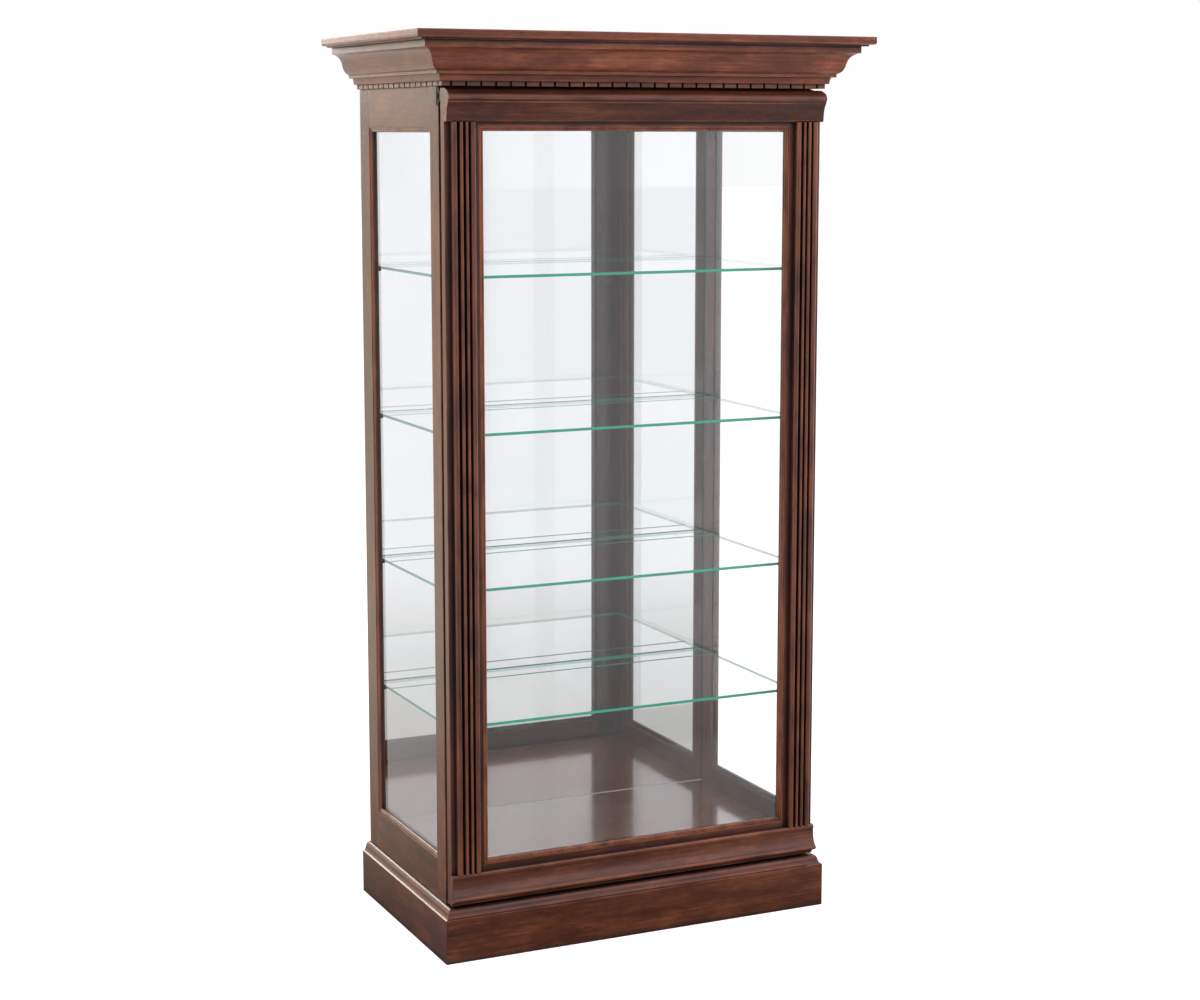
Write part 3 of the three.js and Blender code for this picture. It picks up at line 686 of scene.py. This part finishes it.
def build_door_mouldings():
    face = box_mm("door_top_rail")[0][Y]
    head = outline(
        (0, 0), ((14, 1.5), (24, 8.5)), ((31.5, 14.5), (30.5, 22.5)), (27, 26), (27, 29.5),
        ((19, 36.5), (16.5, 52.5)), (15, 67.5), (12.5, 70.5), (0, 70.5),
    )
    foot = outline(
        (0, 0), (12, 0), ((15.5, 5), (12, 11)), ((11.5, 34), (21, 46.5)),
        ((27.5, 50), (26.5, 53.5)), ((24, 59), (14, 61)), ((7.5, 63), (6, 70.5)), (0, 70.5),
    )
    for place, node, profile, tone_and_light in (("head", "door_top_moulding", head, HEAD_PAINTED_SHADE),
                                       ("foot", "door_bottom_moulding", foot, FOOT_PAINTED_LIGHT)):
        low, high = box_mm(node)
        section = [(face - rise, high[Z] - drop) for rise, drop in eased(profile, 0.6)]
        bm = bmesh.new()
        add_along(bm, section, X, low[X], high[X])
        make_piece(f"door_{place}_moulding", "door", [MOULDED], bm, X, [node], tone_and_light)


def bead_section(depth):
    """A glass bead as [inset, depth]: square behind, a quirk and a round nose in front."""
    return eased(outline(
        (0.1, 0.1), (10, 0.1), (10, depth - 6.5), ((10, depth - 2.6), (6.3, depth - 1.9)),
        (5.2, depth - 3.0), (4.2, depth - 1.6), (0.1, depth - 1.6),
    ), 0.35)


def build_beads():
    """Four mitred lengths round each opening."""
    jobs = [("door_glass_bead", "door", Y, -1)]
    jobs += [(f"{side}_glass_bead", "case", X, sign) for side, sign in SIDES]
    for node, body, axis, sign in jobs:
        low, high = box_mm(node)
        across = X if axis == Y else Y
        depth = DOOR_BEAD_DEPTH if axis == Y else SIDE_BEAD_DEPTH
        glass = (high if sign < 0 else low)[axis]
        bm = bmesh.new()
        corners = [(-1, -1), (1, -1), (1, 1), (-1, 1)]
        for i, start in enumerate(corners):
            end = corners[(i + 1) % 4]
            rings = []
            for at, other in ((start, end), (end, start)):
                ring = []
                for inset, rise in bead_section(depth):
                    point = [0.0, 0.0, 0.0]
                    for k, turn, along in ((across, at[0], other[0]), (Z, at[1], other[1])):
                        gap = MITRE_GAP if turn != along else 0.0
                        edge = low[k] if turn < 0 else high[k]
                        point[k] = edge - turn * (inset + gap)
                    point[axis] = glass + sign * rise
                    ring.append(point)
                rings.append(ring)
            add_sweep(bm, rings)
        make_piece(f"{node}_strips", body, [MOULDED], bm, Z, [node], BEAD_PAINTED_LIGHT)


# ---------------------------------------------------------------- glass


def build_panes():
    for node, body in (("door_glass", "door"), ("left_side_glass", "case"), ("right_side_glass", "case")):
        low, high = box_mm(node)
        bm = bmesh.new()
        add_box(bm, low, high, 0.5)
        paint_edges(bm, X if "side" in node else Y)
        make_piece(f"{node}_pane", body, [CLEAR_PANE, PANE_EDGE], bm, Z, [node])


def paint_edges(bm, axis):
    """Gives every face that doesn't look along the axis the second material."""
    bm.normal_update()
    for face in bm.faces:
        face.material_index = 0 if abs(face.normal[axis]) > 0.99 else 1


def build_mirror():
    low, high = box_mm("mirror")
    silver_front = high[Y] - SILVERING
    bm = bmesh.new()
    add_box(bm, low, [high[X], silver_front - 0.02, high[Z]])
    paint_edges(bm, Y)
    for face in bm.faces:
        if face.normal.z < -0.9:
            face.material_index = 3
    add_box(bm, [low[X], silver_front, low[Z]], high, material=2)
    materials = [CLEAR_PANE, PANE_EDGE, SILVER, MIRROR_EDGE]
    make_piece("mirror_plate", "case", materials, bm, Z, ["mirror"])


def build_shelves():
    arris = SHELF_ARRIS
    for number in range(1, 5):
        node = f"shelf_{number}"
        low, high = box_mm(node)
        groove = high[Y] - PLATE_GROOVE_TO_REAR
        section = outline(
            (low[Y] + arris, low[Z]), (high[Y] - arris, low[Z]), (high[Y], low[Z] + arris),
            (high[Y], high[Z] - arris), (high[Y] - arris, high[Z]),
            (groove + PLATE_GROOVE_HALF_WIDTH, high[Z]),
            ((groove, high[Z] - PLATE_GROOVE_PULL), (groove - PLATE_GROOVE_HALF_WIDTH, high[Z])),
            (low[Y] + arris, high[Z]), (low[Y], high[Z] - arris), (low[Y], low[Z] + arris),
        )
        bm = bmesh.new()
        add_along(bm, section, X, low[X], high[X])
        paint_edges(bm, Z)
        make_piece(f"{node}_glass", node, [SHELF_PANE, SHELF_EDGE], bm, X, [node])


# ---------------------------------------------------------------- hardware


def pin_profile(reach):
    """A shelf pin as [radius, distance]: a domed end, a plain peg and a collar."""
    return [(0.01, 0), (3.4, 0), (4.0, 0.4), (4.0, 1.6), (3.6, 2.0), (2.6, 2.15),
            (2.5, 2.6), (2.5, reach - 1.2), (2.2, reach - 0.5), (1.4, reach - 0.1), (0.01, reach)]


def build_pins():
    for number in range(1, 5):
        for side, sign in SIDES:
            for end in ("front", "rear"):
                node = f"shelf_{number}_pin_{side}_{end}"
                low, high = box_mm(node)
                centre = [(a + b) / 2 for a, b in zip(low, high)]
                centre[X] = low[X] if sign < 0 else high[X]
                bm = bmesh.new()
                add_turned(bm, pin_profile(high[X] - low[X]), centre, X, -sign)
                make_piece(f"{node}_peg", "case", [PIN_METAL], bm, X, [node])


def channel_section(web, lip, low, high):
    """A rolled C channel as [y, z]: the web at one side, lips turned back at the other."""
    gauge = SLIDE_GAUGE
    turn = math.copysign(1.0, lip - web)
    inside = web + turn * gauge
    behind_lip = lip - turn * gauge
    low_hook = low + gauge + SLIDE_HOOK
    high_hook = high - gauge - SLIDE_HOOK
    return eased([
        (web, low), (lip, low), (lip, low_hook), (behind_lip, low_hook),
        (behind_lip, low + gauge), (inside, low + gauge),
        (inside, high - gauge), (behind_lip, high - gauge),
        (behind_lip, high_hook), (lip, high_hook), (lip, high), (web, high),
    ], 0.5)


def build_slides():
    """Channels with an end stop at both ends. The stops cross the member nested inside."""
    members = (
        ("top_slide_case_member", "case", -1), ("top_slide_middle_member", "slide_middle", -1),
        ("top_slide_door_member", "door", 1), ("bottom_slide_case_member", "case", -1),
        ("bottom_slide_door_member", "door", 1),
    )
    for node, body, sign in members:
        low, high = box_mm(node)
        web, lip = (high[Y], low[Y]) if sign < 0 else (low[Y], high[Y])
        bm = bmesh.new()
        add_along(bm, channel_section(web, lip, low[Z], high[Z]), X, low[X], high[X])
        near, far = min(web, lip), max(web, lip)
        if sign < 0:
            stop_y = (near + STOP_LIP_GAP, far - STOP_INSET)
        else:
            stop_y = (near + STOP_INSET, far - STOP_LIP_GAP)
        stop_z = (low[Z] + STOP_INSET, high[Z] - STOP_INSET)
        ends = (
            (low[X] + STOP_SETBACK, low[X] + STOP_LENGTH),
            (high[X] - STOP_LENGTH, high[X] - STOP_SETBACK),
        )
        for stop_x in ends:
            corners = [list(corner) for corner in zip(stop_x, stop_y, stop_z)]
            add_box(bm, *corners, 0.5)
        make_piece(f"{node}_rail", body, [BLACK_STEEL], bm, X, [node])


# ---------------------------------------------------------------- stage, light and camera


def satin_studio(t, heading):
    """What satin wood reflects along a heading: a beige glow behind the cabinet, pale walls
    at its sides and a darker front. Returns strength and colour."""
    parts = t.add("SeparateXYZ", {0: heading}).outputs
    sideways = t.math("ABSOLUTE", parts["X"])
    walls = t.ranged(sideways, 0.34, 0.62, 0.0, 0.85)
    walls = t.math("MULTIPLY", walls, t.ranged(parts["Y"], -0.8, 0.0, 0.30, 1.0))
    behind = t.ranged(parts["Y"], 0.0, 0.7, 0.30, 1.0)
    strength = t.math("MINIMUM", t.math("ADD", walls, behind), 1.25)
    left = t.ranged(parts["X"], -0.25, 0.25, 1.0, 0.0)
    beige = t.math("MULTIPLY", t.ranged(parts["Y"], -0.1, 0.5), left)
    return strength, t.mix(beige, (1.0, 0.93, 0.97, 1), (1.0, 0.85, 0.69, 1))


def build_floor():
    """A pale floor that fades into the background. Satin and mirror surfaces see it as an emission
    with painted shade, darker close to the cabinet where it would be shaded, and satin surfaces see the
    studio's walls painted onto it."""
    half = 60.0
    mesh = bpy.data.meshes.new("studio_floor")
    corners = [(-half, -half, 0), (half, -half, 0), (half, half, 0), (-half, half, 0)]
    mesh.from_pydata(corners, [], [(0, 1, 2, 3)])
    floor = bpy.data.objects.new("studio_floor", mesh)
    bpy.context.scene.collection.objects.link(floor)

    material, t = new_material("studio_floor")
    rays = t.add("LightPath").outputs
    place = t.add("NewGeometry").outputs["Position"]
    distance = t.add("VectorMath", {0: place}, operation="LENGTH").outputs["Value"]
    far = t.math("POWER", t.add("MapRange", {0: distance, 1: 0.45, 2: 3.5, 4: 0.82}).outputs[0], 0.6)
    heading = t.add("VectorMath", {0: place}, operation="NORMALIZE").outputs[0]
    strength, cast = satin_studio(t, heading)
    # painted reflection and painted shade: satin surfaces see the floor as an emission of the studio,
    # darker close to the cabinet
    shaded = t.math("ADD", t.math("MULTIPLY", far, strength), 0.05)
    satin = t.add("Emission", {"Color": cast, "Strength": shaded}).outputs[0]
    # painted shade: mirrors and glass see the floor as an emission, darker close to the cabinet
    paler = t.ranged(distance, 0.8, 4.5, 0.62, 1.03)
    cast = t.mix(t.ranged(distance, 1.0, 4.5), (1.0, 0.96, 0.95, 1), (0.985, 0.968, 1.0, 1))
    clear = t.add("Emission", {"Color": cast, "Strength": paler}).outputs[0]
    lift = t.math("MULTIPLY", rays["Is Camera Ray"], 0.55)
    plain = t.add("BsdfDiffuse", {"Color": (0.86, 0.86, 0.86, 1)}).outputs[0]
    glow = t.add("Emission", {"Color": (1, 1, 1, 1), "Strength": lift}).outputs[0]
    shader = t.add("AddShader", {0: plain, 1: glow}).outputs[0]
    shader = t.add("MixShader", {0: rays["Is Glossy Ray"], 1: shader, 2: satin}).outputs[0]
    shader = t.add("MixShader", {0: rays["Is Singular Ray"], 1: shader, 2: clear}).outputs[0]
    t.finish(shader)
    mesh.materials.append(material)


def build_world():
    """White for the camera and for glass, a shaded studio for satin surfaces, and an even
    soft light for everything else."""
    world = bpy.data.worlds.new("studio")
    bpy.context.scene.world = world
    t = Tree(world)
    rays = t.add("LightPath").outputs
    direction = t.add("TexCoord").outputs["Generated"]
    height = t.add("SeparateXYZ", {0: direction}).outputs["Z"]
    strength, cast = satin_studio(t, direction)
    raised = t.ranged(height, 0.02, 0.28, 0.0, 0.60)
    studio = t.math("MINIMUM", t.math("ADD", strength, raised), 1.35)
    dome = t.ranged(height, -0.2, 1.0, 0.40, 0.85)
    soft = t.add("Background", {"Color": (1.0, 0.985, 0.97, 1), "Strength": dome}).outputs[0]
    satin = t.add("Background", {"Color": cast, "Strength": studio}).outputs[0]
    white = t.add("Background", {"Color": (1, 1, 1, 1), "Strength": 1.0}).outputs[0]
    band = t.noise(direction, (14, 14, 0.4), detail=2, roughness=0.4)
    curtain = t.ranged(band, 0.35, 0.65, 0.96, 1.13)
    pale = t.add("Background", {"Color": (0.985, 0.968, 1.0, 1), "Strength": curtain}).outputs[0]
    shader = t.add("MixShader", {0: rays["Is Glossy Ray"], 1: soft, 2: satin}).outputs[0]
    shader = t.add("MixShader", {0: rays["Is Singular Ray"], 1: shader, 2: pale}).outputs[0]
    shader = t.add("MixShader", {0: rays["Is Camera Ray"], 1: shader, 2: white}).outputs[0]
    t.finish(shader, "OutputWorld")


def add_softbox(name, place, target, size, watts, colour=(1, 1, 1), mirrored=False):
    light = bpy.data.lights.new(name, "AREA")
    light.shape = "RECTANGLE"
    light.size, light.size_y = size
    light.energy = watts
    light.color = colour
    lamp = bpy.data.objects.new(name, light)
    lamp.location = place
    lamp.visible_glossy = mirrored
    lamp.rotation_euler = (Vector(target) - Vector(place)).to_track_quat("-Z", "Y").to_euler()
    bpy.context.scene.collection.objects.link(lamp)


def build_lights():
    middle = (0, 0, 1.1)
    add_softbox("key_front", (2.0, -5.0, 3.4), (0, 0, 1.5), (3.0, 2.4), 190, (1, 0.98, 0.96))
    add_softbox("fill_left", (-4.5, -3.0, 2.5), middle, (2.5, 3.0), 45, (1, 0.98, 0.96))
    add_softbox("window_left", (-3.6, 3.0, 2.9), middle, (1.6, 1.6), 45, (1, 0.97, 0.93))
    rim_warmth = (1, 0.95, 0.90)
    add_softbox("rim_back", (-1.0, 4.7, 2.7), (-0.45, 0, 0.2), (1.7, 1.3), 48, rim_warmth, mirrored=True)


def build_camera():
    camera = bpy.data.cameras.new("camera")
    camera.sensor_width = 36.0
    camera.lens = 68.826
    camera.shift_y = -0.035
    camera.clip_end = 200.0
    seat = bpy.data.objects.new("camera", camera)
    seat.location = (-2.2210, -4.7867, 1.8277)
    seat.rotation_euler = (math.radians(90 - 8.164), 0.0, math.radians(-24.981))
    bpy.context.scene.collection.objects.link(seat)
    bpy.context.scene.camera = seat


def set_view():
    scene = bpy.context.scene
    scene.view_settings.view_transform = "Standard"
    scene.cycles.transparent_max_bounces = 48
    scene.cycles.max_bounces = 10
    scene.cycles.glossy_bounces = 6


# ---------------------------------------------------------------- the cabinet

build_boards()
build_plinth()
build_crown()
build_door_stiles()
build_door_mouldings()
build_beads()
build_panes()
build_mirror()
build_shelves()
build_pins()
build_slides()
build_floor()
build_world()
build_lights()
build_camera()
set_view()
